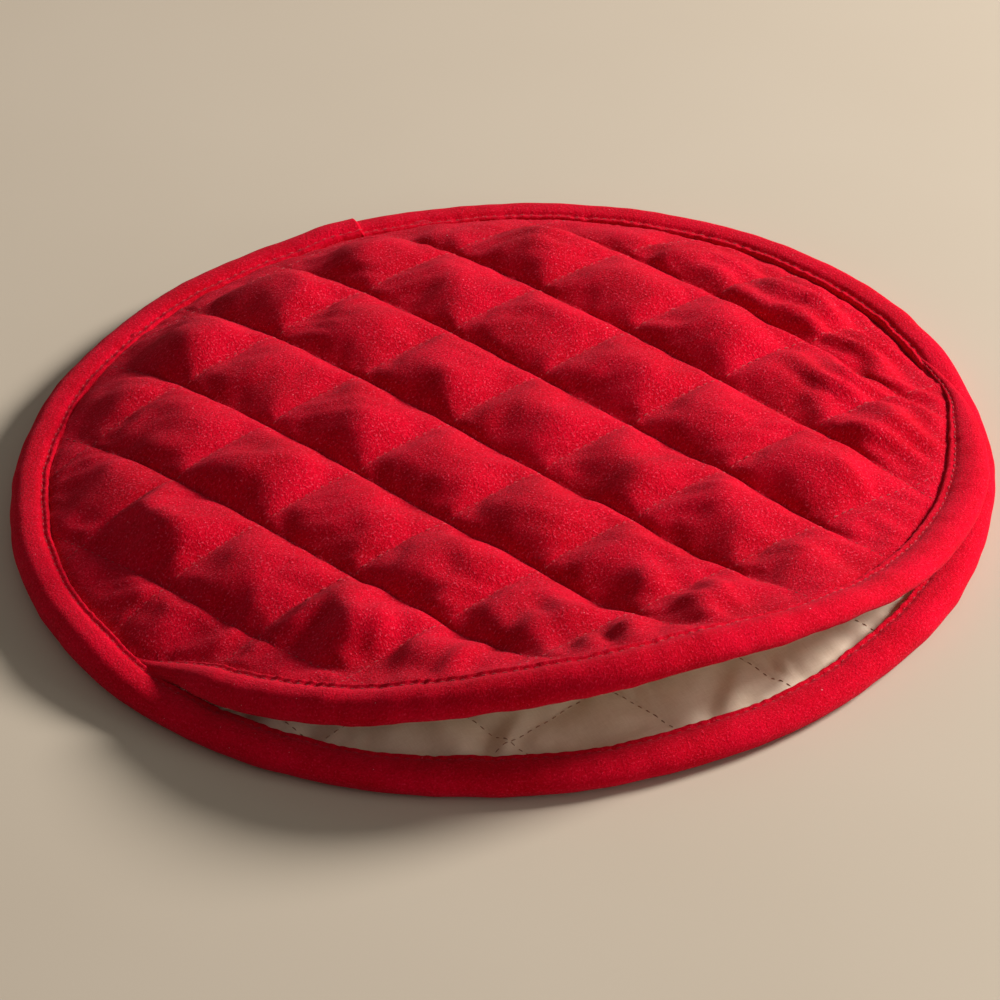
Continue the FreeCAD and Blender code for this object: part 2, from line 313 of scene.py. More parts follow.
def gathers(x, y):
    """Folds that run in from the upper seam, where the binding gathers the cloth: cosines bent
    by slow ripples. At the right end of the mouth they follow the deeper stitch lines, along
    its front they stand square to the lip, and elsewhere they are slight. A narrow ditch runs
    along the seam."""
    degrees, room = angle_of(x, y), room_inside(upper_edge, x, y)
    right = smooth(1.4 - np.abs(degrees - RIGHT_FOLDS_AT) / RIGHT_FOLDS_SPREAD)
    front = smooth(1.6 - np.abs(degrees - FRONT_DENTS_AT) / FRONT_DENTS_SPREAD)
    along_lines = lattice(UPPER_FIRST, x, y)[0]
    right_folds = wave(RIGHT_FOLDS_PER_STEP * along_lines + 0.3 * ripple(x, y, 38, 23))
    arc = np.radians(degrees) * SEAM_RADIUS
    square_folds = wave(arc / DENT_PITCH + 0.22 * ripple(x, y, 44, 25))
    uneven = smooth(0.5 + 0.6 * ripple(x, y, 31, 27))
    square_height = SLIGHT_FOLD_HEIGHT + FRONT_DENT_HEIGHT * front
    folds = SLIGHT_FOLD_HEIGHT * right_folds + square_height * square_folds
    crumples = front * ripple(x, y, 21, 33)
    ditch = np.exp(-(room / DITCH_WIDTH) ** 2)
    return (band(room, *FOLD_BAND) * uneven * folds - DITCH_DEPTH * ditch
            + CRUMPLE_HEIGHT * band(room, *CRUMPLE_BAND) * crumples
            + RIGHT_FOLD_HEIGHT * band(room, *RIGHT_FOLD_BAND) * right * right_folds)


def upper_top(x, y):
    """Height of the red cloth of the upper panel, with its soft creases. Some run side by side
    along a diamond's long diagonal, where the cloth is gathered."""
    s, t = lattice(UPPER_FIRST, x, y)
    loose = np.abs(np.sin(math.pi * s) * np.sin(math.pi * t)) ** 0.5
    creases = CREASE_HEIGHT * ripple(x, y, 26, 3) + FINE_CREASE_HEIGHT * ripple(x, y, 11, 5)
    folds = wave(CELL_FOLDS_PER_STEP * (s + t) + 0.35 * ripple(x, y, 36, 7))
    gathered = smooth(0.35 + 0.7 * ripple(x, y, 41, 9)) * (0.5 + 0.5 * smooth(np.hypot(x, y) / 120))
    off_lines = GATHERS_ON_LINES + (1 - GATHERS_ON_LINES) * loose
    return (upper_valley(x, y) + OUTER_PUFF * puff(UPPER_FIRST, x, y, upper_edge)
            + loose * (creases + CELL_FOLD_HEIGHT * folds * gathered) + off_lines * gathers(x, y))


def upper_inside(x, y):
    """Height of the padding's under face, on which the upper lining lies."""
    return (upper_valley(x, y) - PANEL_THICKNESS + LINING_THICKNESS
            - INNER_PUFF * puff(UPPER_FIRST, x, y, upper_edge))


def upper_lining_face(x, y):
    """Height of the upper lining's face in the pocket."""
    return upper_inside(x, y) - LINING_THICKNESS + TOUCHING


def lower_top(x, y):
    """Height of the tan cloth of the lower panel. Broad and fine folds stand square to the rim
    where the cloth turns up to the binding."""
    room = room_inside(lower_edge, x, y)
    near_rim = smooth((45 - room) / 40)
    arc = np.arctan2(y, x) * SEAM_RADIUS
    broad = wave(arc / LINING_FOLD_PITCH + 0.6 * ripple(x, y, 50, 15))
    fine = wave(arc / LINING_FINE_FOLD_PITCH + 0.6 * ripple(x, y, 33, 35))
    folds = (LINING_FOLD_HEIGHT * broad * smooth(0.6 + 0.5 * ripple(x, y, 37, 29))
             + LINING_FINE_FOLD_HEIGHT * fine * smooth(ripple(x, y, 45, 37)))
    creases = (LINING_CREASE_HEIGHT * ripple(x, y, 19, 11)
               + LINING_FINE_CREASE_HEIGHT * ripple(x, y, 8, 13) * near_rim)
    return (LOWER_VALLEY + LOWER_INNER_PUFF * puff(LOWER_FIRST, x, y, lower_edge) + creases
            + folds * near_rim * smooth(room / 9))


def lower_inside(x, y):
    """Height of the padding's top face, under the lower lining."""
    return lower_top(x, y) - LINING_THICKNESS


def lower_under(x, y, on_floor=0.03):
    """Height of the red cloth underneath, flat where it rests on the floor."""
    hanging = LOWER_OUTER_PUFF * puff(LOWER_FIRST, x, y, lower_edge)
    return np.maximum(on_floor, LOWER_VALLEY - PANEL_THICKNESS - hanging)


# Meshes


def new_piece(name, points, faces, uv, material):
    """Mesh of points in millimetres and faces of equal size, with its faces turned outwards:
    the signed volume under them is made positive."""
    points = np.asarray(points, float) * MM
    corners = points[faces]
    fan = sum(np.einsum("ij,ij->i", corners[:, 0], np.cross(corners[:, k], corners[:, k + 1]))
              for k in range(1, faces.shape[1] - 1))
    if fan.sum() < 0:
        faces, uv = faces[:, ::-1], uv[:, ::-1]
    mesh = bpy.data.meshes.new(name)
    mesh.vertices.add(len(points))
    mesh.vertices.foreach_set("co", points.astype(np.float32).ravel())
    count, size = faces.shape
    mesh.loops.add(count * size)
    mesh.loops.foreach_set("vertex_index", np.ascontiguousarray(faces).ravel().astype(np.int32))
    mesh.polygons.add(count)
    mesh.polygons.foreach_set("loop_start", np.arange(0, count * size, size, dtype=np.int32))
    mesh.update(calc_edges=True)
    mesh.polygons.foreach_set("use_smooth", np.ones(count, bool))
    layer = mesh.uv_layers.new(name="Cloth")
    layer.data.foreach_set("uv", (np.ascontiguousarray(uv) * MM).astype(np.float32).ravel())
    mesh.validate()
    mesh.materials.append(material)
    piece = bpy.data.objects.new(name, mesh)
    bpy.context.scene.collection.objects.link(piece)
    return piece


def crowded(first_line, last_line, steps):
    """Values from one stitch line to another, closer together near each line: a cell's share t
    becomes t less half a sine of its turn."""
    share = np.arange(steps) / steps
    share = share - 0.5 * np.sin(TURN * share) / TURN
    lines = np.arange(first_line, last_line)
    return np.append((lines[:, None] + share).ravel(), last_line)


def panel_grid(first, edge, steps):
    """Plan points of a panel on a grid of its own stitch lines, and the grid's squares. Points
    that fall outside the edge are drawn in to it."""
    corners = RIM_RADIUS * np.array([(a, b) for a in (-1, 1) for b in (-1, 1)])
    s, t = lattice(first, corners[:, 0], corners[:, 1])
    s = crowded(math.floor(s.min()), math.ceil(s.max()), steps)
    t = crowded(math.floor(t.min()), math.ceil(t.max()), steps)
    s, t = np.meshgrid(s, t, indexing="ij")
    x, y = plan(first, s, t)
    limit = edge(angle_of(x, y))
    radius = np.hypot(x, y)
    inside = radius < limit
    index = np.arange(x.size).reshape(x.shape)
    squares = np.stack([index[:-1, :-1], index[1:, :-1], index[1:, 1:], index[:-1, 1:]], -1)
    squares = squares.reshape(-1, 4)
    squares = squares[inside.ravel()[squares].sum(1) >= 2]
    shrink = np.minimum(1, limit / np.maximum(radius, 1e-6))
    used, squares = np.unique(squares, return_inverse=True)
    return (x * shrink).ravel()[used], (y * shrink).ravel()[used], squares.reshape(-1, 4)


def outline_edges(squares):
    """Edges that belong to one square only, in that square's direction."""
    edges = np.concatenate([squares[:, [k, (k + 1) % 4]] for k in range(4)])
    key = np.sort(edges, axis=1)
    _, back, count = np.unique(key, axis=0, return_inverse=True, return_counts=True)
    return edges[count[back.ravel()] == 1]


def closed_layer(name, x, y, squares, top, bottom, material):
    """A layer of cloth or padding: a top and a bottom surface over the same plan, walled along
    their edge. Each surface is given by its heights or by its points."""
    count = len(x)
    flat = np.column_stack([x, y])
    skins = [np.column_stack([flat, skin]) if skin.ndim == 1 else skin for skin in (top, bottom)]
    rim = outline_edges(squares)
    wall = np.column_stack([rim[:, 1], rim[:, 0], rim[:, 0] + count, rim[:, 1] + count])
    faces = np.concatenate([squares, squares[:, ::-1] + count, wall])
    uv = np.concatenate([flat, flat])[faces]
    return new_piece(name, np.concatenate(skins), faces, uv, material)


def evened(shift, pairs, sewn):
    """Shifts of points, each moved half way to the mean of those along its edges, a few times
    over. Sewn points keep theirs."""
    one, other = pairs.reshape(-1, 2).T
    around = np.bincount(pairs, minlength=len(shift))[:, None]
    for _ in range(SMOOTHING_ROUNDS):
        near = np.column_stack([np.bincount(one, shift[other, k], len(shift))
                                + np.bincount(other, shift[one, k], len(shift)) for k in range(3)])
        shift = np.where(sewn[:, None], shift, 0.5 * shift + 0.5 * near / around)
    return shift


def blown(x, y, squares, heights):
    """Cloth simulation of the upper panel's red face. The cloth is sewn down along the stitch
    lines and the seam, cut larger than its place by the growth, and blown up by an even
    pressure. No point moves farther than a limit, which it nears along a hyperbolic tangent."""
    start = np.column_stack([x, y, heights])
    s, t = lattice(UPPER_FIRST, x, y)
    on_line = np.minimum(np.abs(s - np.round(s)), np.abs(t - np.round(t))) < 1e-3
    sewn = on_line | (room_inside(upper_edge, x, y) < SEWN_MARGIN)
    cloth = new_piece("blown_cloth", start, squares, start[squares][:, :, :2], shell_cloth)
    if cloth.data.polygons[0].normal.z < 0:
        cloth.data.flip_normals()
    cloth.vertex_groups.new(name="sewn").add(np.flatnonzero(sewn).tolist(), 1.0, "REPLACE")
    pairs = np.zeros(len(cloth.data.edges) * 2, np.int32)
    cloth.data.edges.foreach_get("vertices", pairs)
    modifier = cloth.modifiers.new("Cloth", "CLOTH")
    modifier.point_cache.frame_start, modifier.point_cache.frame_end = 1, BLOWN_STEPS
    cut = modifier.settings
    cut.quality, cut.mass, cut.air_damping = 5, 0.08, 4.0
    cut.tension_stiffness = cut.compression_stiffness = 20.0
    cut.shear_stiffness, cut.bending_stiffness = 8.0, 1.5
    cut.vertex_group_mass, cut.shrink_min = "sewn", -BLOWN_GROWTH
    cut.use_pressure, cut.uniform_pressure_force = True, BLOWN_PRESSURE
    cut.effector_weights.gravity = 0.0
    modifier.collision_settings.use_collision = False
    scene = bpy.context.scene
    for frame_number in range(1, BLOWN_STEPS + 1):
        scene.frame_set(frame_number)
    result = cloth.evaluated_get(bpy.context.evaluated_depsgraph_get()).to_mesh()
    moved = np.zeros(len(x) * 3, np.float32)
    result.vertices.foreach_get("co", moved)
    shift = moved.reshape(-1, 3).astype(float) / MM - start
    bpy.data.objects.remove(cloth)
    scene.frame_set(1)
    shift = evened(shift, pairs, sewn)
    far = np.linalg.norm(shift, axis=1)[:, None]
    return start + shift * np.tanh(far / BLOWN_LIMIT) * BLOWN_LIMIT / np.maximum(far, 1e-9)


def hidden_edge(edge):
    """The edge moved out under its binding."""
    return lambda degrees: edge(degrees) + UNDER_TAPE


def smooth_loop(profile, steps):
    """Closed curve through the profile's points: a Catmull-Rom cubic on each span."""
    p = np.asarray(profile, float)
    before, after, later = np.roll(p, 1, 0), np.roll(p, -1, 0), np.roll(p, -2, 0)
    t = (np.arange(steps) / steps)[None, :, None]
    p, before, after, later = (q[:, None, :] for q in (p, before, after, later))
    curve = p + 0.5 * t * ((after - before) + t * ((2 * before - 5 * p + 4 * after - later)
                                                   + t * (3 * (p - after) + later - before)))
    return curve.reshape(-1, 2)


def tube(name, rings, arc, closed, material):
    """Skin over rings of points. A closed path joins its last ring to its first, and an open
    one is capped. The cloth's own map runs along the path and round the section."""
    count, size = rings.shape[:2]
    ring = np.arange(count if closed else count - 1)[:, None]
    point = np.arange(size)[None, :]
    ahead, beside = (ring + 1) % count, (point + 1) % size
    faces = np.stack([ring * size + point, ahead * size + point,
                      ahead * size + beside, ring * size + beside], -1).reshape(-1, 4)
    girth = np.linalg.norm(np.roll(rings[count // 2], -1, 0) - rings[count // 2], axis=1)
    girth = np.concatenate([[0], np.cumsum(girth)])
    along = np.append(arc, arc[-1] + (arc[-1] - arc[-2]))
    uv = np.stack([np.stack(np.broadcast_arrays(along[ring + i], girth[point + j]), -1)
                   for i, j in ((0, 0), (1, 0), (1, 1), (0, 1))], 2).reshape(-1, 4, 2)
    points = rings.reshape(-1, 3)
    if not closed:
        for end in (0, count - 1):
            middle = rings[end].mean(0)
            points = np.concatenate([points, middle[None]])
            here = end * size + point.ravel()
            there = end * size + beside.ravel()
            hub = np.full(size, len(points) - 1)
            pair = (here, there) if end == 0 else (there, here)
            faces = np.concatenate([faces, np.column_stack([hub, hub, *pair])])
            uv = np.concatenate([uv, np.zeros((size, 4, 2))])
    return new_piece(name, points, faces, uv, material)


# Sections of the tapes: out from the middle, and up. The lip's is in millimetres, and the
# rim's heights are shares of the tape's height
LIP_PROFILE = smooth_loop([
    (-6.5, 1.5), (-6.45, 2.8), (-5.6, 3.4), (-4.2, 3.0), (-2.7, 3.8), (-0.6, 4.4), (2.2, 4.2),
    (4.3, 3.1), (6.0, 1.3), (6.5, -0.6), (6.0, -2.5), (4.3, -3.9), (1.5, -4.5), (-1.5, -4.3),
    (-4.2, -3.6), (-6.0, -3.1), (-6.5, -2.5), (-5.6, -1.0), (-5.6, 0.6)], steps=3)
RIM_PROFILE = smooth_loop([
    (-6.1, 0.72), (-6.0, 0.9), (-5.2, 0.965), (-4.0, 0.92), (-2.6, 0.985), (-0.4, 1.0),
    (2.2, 0.975), (4.3, 0.87), (5.6, 0.71), (6.1, 0.5), (5.4, 0.28), (3.5, 0.1), (0.9, 0.0),
    (-2.0, 0.0), (-4.8, 0.01), (-6.0, 0.07), (-6.1, 0.2), (-5.4, 0.45)], steps=3)


def eased(arc, spread, seed):
    """Small unevenness of a tape along its length: ripples of three lengths."""
    still = 0 * arc
    return spread * (0.6 * ripple(arc, still, 61, seed) + 0.3 * ripple(arc, still, 23, seed + 1)
                     + 0.22 * ripple(arc, still, 9, seed + 2))


def pucker(arc, depth, seed):
    """Dents that the stitches pull in a tape, one for each stitch or two, of uneven depth."""
    still = 0 * arc
    pace = arc / PUCKER_PITCH + 0.35 * ripple(arc, still, 31, seed)
    return depth * (0.6 + 0.4 * ripple(arc, still, 17, seed + 1)) * (wave(pace) - 1) / 2


def stitched_part(inward):
    """One on the part of a tape that its stitches pull, and nought from its middle outwards."""
    return smooth((inward - 1.5) / 3.5)


def about_disc(degrees, radius, height):
    """Points at radii and heights, one section for each direction from the disc's middle."""
    turn = np.radians(degrees)[:, None]
    return np.stack([radius * np.cos(turn), radius * np.sin(turn), height], -1)


def rim_section(degrees):
    """Height of the rim's tape and how far it is pushed out: low across the mouth, tall over
    both panels, pressed a little flatter at the far back, and raised at the lap of its two
    ends, which stops short at one side."""
    over_mouth = share_of_mouth(degrees, ends=(-4, -178), fades=(18, 16))
    height = BACK_TAPE_HEIGHT + (MOUTH_TAPE_HEIGHT - BACK_TAPE_HEIGHT) * over_mouth
    height = height - FAR_BACK_SINK * smooth((np.sin(np.radians(degrees)) - 0.2) / 0.6)
    past_lap = np.where(degrees > LAP_ANGLE - 1, degrees - LAP_ANGLE, degrees + 360 - LAP_ANGLE)
    lap = smooth(past_lap / LAP_STEP) * (1 - smooth((past_lap - LAP_LENGTH) / LAP_FADE))
    return height + LAP_RISE * lap, LAP_OUT * lap


def rim_rings(degrees):
    """Sections of the rim's tape about the disc, and the way along it: the profile's height is
    the tape's, its inner part is dented by the stitches, and it is flat where it rests on the
    floor."""
    arc = np.radians(degrees) * RIM_RADIUS
    height, out = rim_section(angle_of(np.cos(np.radians(degrees)), np.sin(np.radians(degrees))))
    a, b = RIM_PROFILE.T[:, None, :] * np.ones((1, len(degrees), 1))
    inner = stitched_part(-a) * smooth((b - 0.3) / 0.5)
    radius = RIM_TAPE_MIDDLE + a + out[:, None] * b + eased(arc, 0.4, 21)[:, None]
    radius = radius + inner * eased(arc, 0.35, 31)[:, None]
    z = b * (height + eased(arc, 0.35, 41))[:, None] + inner * pucker(arc, 0.45, 51)[:, None]
    return about_disc(degrees, radius, np.maximum(z, 0.01)), arc


def lip_rings(degrees):
    """Sections of the lip's tape, and the way along it: the profile tilted and sized as the
    table says, and dented on both faces along the stitches."""
    arc = np.radians(degrees) * RIM_RADIUS
    radius, height, tilt, width, thickness = (through(LIP, k, degrees)[:, None] for k in range(1, 6))
    tilt = np.radians(tilt)
    inner = stitched_part(-LIP_PROFILE[:, 0])[None, :]
    side = np.sign(LIP_PROFILE[:, 1])[None, :]
    a = (LIP_PROFILE[None, :, 0] + inner * eased(arc, 0.35, 61)[:, None]) * width
    b = (LIP_PROFILE[None, :, 1] + side * inner * pucker(arc, 0.42, 71)[:, None]) * thickness
    b = b * (1 + 0.07 * eased(arc, 1, 81)[:, None])
    radius = radius + eased(arc, 0.35, 91)[:, None] + a * np.cos(tilt) - b * np.sin(tilt)
    z = height + eased(arc, 0.3, 95)[:, None] + a * np.sin(tilt) + b * np.cos(tilt)
    return about_disc(degrees, radius, z), arc


def threads(name, middle, along, up, material):
    """Short stitches, each a rounded rod of seven rings of six points, whose ends dip into the
    cloth: its thickness is the root of one less the square of the way along."""
    along = along / np.linalg.norm(along, axis=1)[:, None]
    side = np.cross(up, along)
    side = side / np.linalg.norm(side, axis=1)[:, None]
    over = np.cross(along, side)
    rings, sides = 7, 6
    way = np.linspace(-1, 1, rings)
    thick = np.sqrt(1 - way ** 2) * 0.97 + 0.03
    turn = np.arange(sides) / sides * TURN
    u = (way * STITCH_LENGTH / 2)[:, None] + 0 * turn
    v = thick[:, None] * np.cos(turn) * STITCH_WIDTH / 2
    w = thick[:, None] * np.sin(turn) * STITCH_HEIGHT / 2 - (way ** 2)[:, None] * STITCH_DIP
    rod = np.stack([u, v, w], -1).reshape(-1, 3)
    points = (middle[:, None, :] + rod[None, :, :1] * along[:, None]
              + rod[None, :, 1:2] * side[:, None] + rod[None, :, 2:] * over[:, None])
    here = np.arange(sides)
    beside = (here + 1) % sides
    bands = [np.column_stack([here, beside, beside + sides, here + sides]) + ring * sides
             for ring in range(rings - 1)]
    first_cap = np.array([(3, 2, 1, 0), (5, 4, 3, 0)])
    last_cap = np.array([(0, 1, 2, 3), (0, 3, 4, 5)]) + (rings - 1) * sides
    rod_faces = np.concatenate(bands + [first_cap, last_cap])
    faces = (rod_faces[None] + (np.arange(len(middle)) * len(rod))[:, None, None]).reshape(-1, 4)
    points = points.reshape(-1, 3)
    return new_piece(name, points, faces, points[faces][:, :, :2], material)


def quilting_places(first, surface, edge, lift, facing):
    """Middles, directions and normals of the stitches along every stitch line inside the edge,
    on a surface given by its height."""
    middles, directions = [], []
    to_seam, near = 1.5, 0.8
    for step, other in ((QUILT_STEP_1, QUILT_STEP_2), (QUILT_STEP_2, QUILT_STEP_1)):
        length = np.linalg.norm(step)
        way = np.arange(-6 * length, 6 * length, STITCH_PITCH)
        for line in range(-7, 8):
            origin = first + other * line
            x = origin[0] + step[0] / length * way
            y = origin[1] + step[1] / length * way
            keep = room_inside(edge, x, y) > to_seam
            x, y = x[keep], y[keep]
            dx, dy = step / length * near
            slope = surface(x + dx, y + dy) - surface(x - dx, y - dy)
            middles.append(np.column_stack([x, y, surface(x, y) + lift]))
            directions.append(np.column_stack([0 * x + 2 * dx, 0 * x + 2 * dy, slope]))
    middles, directions = np.concatenate(middles), np.concatenate(directions)
    return middles, directions, np.tile([0.0, 0.0, facing], (len(middles), 1))


def tape_places(rings, lift):
    """Middles, directions and normals of the stitches along a tape's stitched line."""
    line = rings[:, STITCHED_POINT]
    gap = np.linalg.norm(np.diff(line, axis=0), axis=1)
    way = np.concatenate([[0], np.cumsum(gap)])
    at = np.arange(STITCH_PITCH, way[-1] - STITCH_PITCH, STITCH_PITCH)
    middles = np.column_stack([np.interp(at, way, line[:, k]) for k in range(3)])
    ahead = np.column_stack([np.interp(at + 1, way, line[:, k]) for k in range(3)])
    normal = np.tile([0.0, 0.0, 1.0], (len(at), 1))
    return middles + normal * lift, ahead - middles, normal


# Materials


class Shade:
    """A value that varies over a surface. Arithmetic on it adds Math nodes."""

    def __init__(self, finish, socket):
        self.finish, self.socket = finish, socket

    def _with(self, operation, *values):
        return self.finish.node("ShaderNodeMath", {"operation": operation}, dict(enumerate(values)))

    def __add__(self, other):
        return self._with("ADD", self, other)

    def __mul__(self, other):
        return self._with("MULTIPLY", self, other)

    __radd__ = __add__
    __rmul__ = __mul__

    def above(self, low, high):
        """0 below low, 1 above high, and a smoothstep between."""
        values = {"Value": self, "From Min": low, "From Max": high}
        return self.finish.node("ShaderNodeMapRange", {"interpolation_type": "SMOOTHSTEP"}, values)


class Finish:
    """A material and the nodes that it is made of."""

    def __init__(self, name):
        self.material = bpy.data.materials.new(name)
        self.material.use_nodes = True
        self.tree = self.material.node_tree
        self.surface = self.tree.nodes["Principled BSDF"]
        self.cloth = self.node("ShaderNodeTexCoord", {}, {}, "UV")
        self.place = self.node("ShaderNodeTexCoord", {}, {}, "Object")

    def node(self, kind, settings, values, output=0):
        """A node of a type, with its settings, and values or links for its inputs."""
        made = self.tree.nodes.new(kind)
        for name, value in settings.items():
            setattr(made, name, value)
        for name, value in values.items():
            if isinstance(value, Shade):
                self.tree.links.new(value.socket, made.inputs[name])
            else:
                made.inputs[name].default_value = value
        return Shade(self, made.outputs[output])

    def noise(self, across, scale, detail, roughness, distortion=0.0):
        """Noise over the points that are given."""
        values = {"Vector": across, "Scale": scale, "Detail": detail, "Roughness": roughness,
                  "Distortion": distortion}
        return self.node("ShaderNodeTexNoise", {}, values, "Fac")

    def stretched(self, across, scale):
        """Points scaled by three numbers, so that noise over them is drawn out."""
        return self.node("ShaderNodeMapping", {}, {"Vector": across, "Scale": scale})

    def mix(self, factor, low, high):
        """Colours mixed by a factor. Each is four numbers or another mix."""
        made = self.tree.nodes.new("ShaderNodeMix")
        made.data_type = "RGBA"
        for socket, value in ((made.inputs[0], factor), (made.inputs[6], low), (made.inputs[7], high)):
            if isinstance(value, Shade):
                self.tree.links.new(value.socket, socket)
            else:
                socket.default_value = value
        return Shade(self, made.outputs[2])

    def set(self, **values):
        """Inputs of the surface, by their names with spaces as underscores."""
        for name, value in values.items():
            socket = self.surface.inputs[name.replace("_", " ")]
            if isinstance(value, Shade):
                self.tree.links.new(value.socket, socket)
            else:
                socket.default_value = value

    def bump(self, height, strength, distance):
        """Relief too fine for the mesh."""
        values = {"Height": height, "Strength": strength, "Distance": distance}
        self.set(Normal=self.node("ShaderNodeBump", {}, values))


def colour(red, green, blue):
    """Linear colour of an sRGB one given from 0 to 255: the screen's curve, undone."""
    values = [c / 255 for c in (red, green, blue)]
    return tuple(c / 12.92 if c <= 0.04045 else ((c + 0.055) / 1.055) ** 2.4 for c in values) + (1.0,)


def brushed_cotton(name, deep, middle, pale, glint_fleck_colour, nap_depth):
    """Cotton brushed to a short nap: clouds of shade, clumps of nap, painted glints of single fibres
    that catch the light and brighter painted glint flecks, both set in the base colour, and a soft
    sheen."""
    finish = Finish(name)
    clouds = finish.noise(finish.cloth, scale=38, detail=3, roughness=0.6)
    clumps = finish.noise(finish.cloth, scale=560, detail=5, roughness=0.7, distortion=0.5)
    fibre_way = finish.stretched(finish.cloth, (1300, 1900, 1))
    fibres = finish.noise(fibre_way, scale=1, detail=3, roughness=0.7, distortion=0.6)
    wisp_way = finish.stretched(finish.cloth, (3300, 1500, 1))
    wisps = finish.noise(wisp_way, scale=1, detail=2, roughness=0.6, distortion=1.2)
    grains = finish.noise(finish.cloth, scale=1350, detail=3, roughness=0.6, distortion=0.3)
    shade = (clumps * 0.3 + grains * 0.35 + clouds * 0.35).above(0.32, 0.68)
    base = finish.mix(shade, deep, middle)
    # Painted glints: pale grains of the nap mixed into the base colour, standing in for fibres that
    # catch the light
    base = finish.mix((grains * 0.7 + wisps * 0.3).above(0.54, 0.7) * 0.62, base, pale)
    # Painted glint flecks: sparse brighter specks mixed into the base colour as if lit
    flecks = finish.noise(finish.cloth, scale=900, detail=0, roughness=0.5).above(0.9, 0.93)
    base = finish.mix(flecks * 0.6, base, glint_fleck_colour)
    finish.set(Base_Color=base, Roughness=0.95, Specular_IOR_Level=0.04, Sheen_Weight=0.12,
               Sheen_Roughness=0.35, Sheen_Tint=(1.0, 0.3, 0.42, 1.0))
    nap = clumps * 0.5 + grains * 0.6 + fibres * 0.3 + wisps * 0.3
    finish.bump(nap, strength=0.8, distance=nap_depth)
    return finish.material


def plain_cotton(name, deep, pale):
    """Unbleached cotton of plain weave: warp and weft as crossed noises, each drawn out along
    its threads, with clouds of shade."""
    finish = Finish(name)
    clouds = finish.noise(finish.cloth, scale=45, detail=3, roughness=0.6)
    warp_way = finish.stretched(finish.cloth, (2400, 260, 1))
    warp = finish.noise(warp_way, scale=1, detail=2, roughness=0.6, distortion=0.3)
    weft_way = finish.stretched(finish.cloth, (260, 2400, 1))
    weft = finish.noise(weft_way, scale=1, detail=2, roughness=0.6, distortion=0.3)
    weave = warp * 0.5 + weft * 0.5
    base = finish.mix((weave * 0.6 + clouds * 0.5).above(0.35, 0.75), deep, pale)
    finish.set(Base_Color=base, Roughness=0.9, Specular_IOR_Level=0.2, Sheen_Weight=0.12,
               Sheen_Roughness=0.5)
    finish.bump(weave, strength=0.4, distance=0.00018)
    return finish.material


def twisted_thread(name, deep, pale):
    """Cotton thread whose plies show as fine bands."""
    finish = Finish(name)
    plies = finish.noise(finish.place, scale=2600, detail=2, roughness=0.6)
    finish.set(Base_Color=finish.mix(plies.above(0.35, 0.65), deep, pale), Roughness=0.7,
               Specular_IOR_Level=0.3, Sheen_Weight=0.2)
    finish.bump(plies, strength=0.4, distance=0.0001)
    return finish.material


# Colour of the brighter painted glint flecks on the red cottons. The third colour of each red cotton
# below is its painted fibre glint
GLINT_FLECK_COLOUR = colour(248, 176, 182)
shell_cloth = brushed_cotton("red_brushed_cotton", colour(170, 0, 16), colour(222, 3, 42),
                             colour(244, 96, 122), GLINT_FLECK_COLOUR, 0.0012)
tape_cloth = brushed_cotton("red_binding_cotton", colour(174, 0, 16), colour(218, 4, 42),
                            colour(238, 62, 88), GLINT_FLECK_COLOUR, 0.0008)
lining_cloth = plain_cotton("tan_lining_cotton", colour(220, 200, 174), colour(236, 220, 198))
red_thread = twisted_thread("red_thread", colour(132, 0, 14), colour(198, 22, 46))
tan_thread = twisted_thread("lining_thread", colour(128, 90, 68), colour(184, 142, 114))


# Pieces


def crosses_fold(*pieces):
    """The pieces, which reach past the fold on to the flap, have their placings baked into their
    meshes.
    """
    for piece in pieces:
        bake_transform(piece)


def finer(steps):
    return steps


def upper_quilted_shell():
    """Red cloth and padding of the upper panel, blown up between its stitches."""
    x, y, squares = panel_grid(UPPER_FIRST, hidden_edge(upper_edge), finer(24))
    top = upper_top(x, y)
    top = blown(x, y, squares, top)
    piece = closed_layer("upper_quilted_shell", x, y, squares, top, upper_inside(x, y), shell_cloth)
    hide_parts("upper_shell_back", "upper_shell_flap",
                "upper_batting_back", "upper_batting_flap")
    return piece


def upper_lining_sheet():
    """Tan cloth on the pocket side of the upper panel."""
    x, y, squares = panel_grid(UPPER_FIRST, hidden_edge(upper_edge), finer(14))
    piece = closed_layer("upper_lining_sheet", x, y, squares, upper_inside(x, y) - TOUCHING,
                         upper_lining_face(x, y) - TOUCHING, lining_cloth)
    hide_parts("upper_lining_back", "upper_lining_flap")
    return piece


def lower_quilted_shell():
    """Red cloth and padding of the lower panel."""
    x, y, squares = panel_grid(LOWER_FIRST, hidden_edge(lower_edge), finer(16))
    piece = closed_layer("lower_quilted_shell", x, y, squares, lower_inside(x, y) - TOUCHING,
                         lower_under(x, y), shell_cloth)
    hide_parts("lower_shell", "lower_batting")
    return piece


def lower_lining_sheet():
    """Tan cloth of the lower panel, seen in the mouth."""
    x, y, squares = panel_grid(LOWER_FIRST, hidden_edge(lower_edge), finer(22))
    piece = closed_layer("lower_lining_sheet", x, y, squares, lower_top(x, y),
                         lower_inside(x, y), lining_cloth)
    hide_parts("lower_lining")
    return piece


def rim_binding_tape():
    """Tape round the whole rim, its sections closer together at the step of its lap, and the
    points of those sections."""
    degrees = np.linspace(-180, 180, 1080, endpoint=False)
    degrees = np.sort(np.append(degrees, LAP_ANGLE + np.linspace(-0.1, 0.6, 8)))
    rings, arc = rim_rings(degrees)
    piece = tube("rim_binding_tape", rings, arc, True, tape_cloth)
    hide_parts("rim_binding", "lower_seam_allowance", "upper_seam_allowance_back")
    return piece, rings


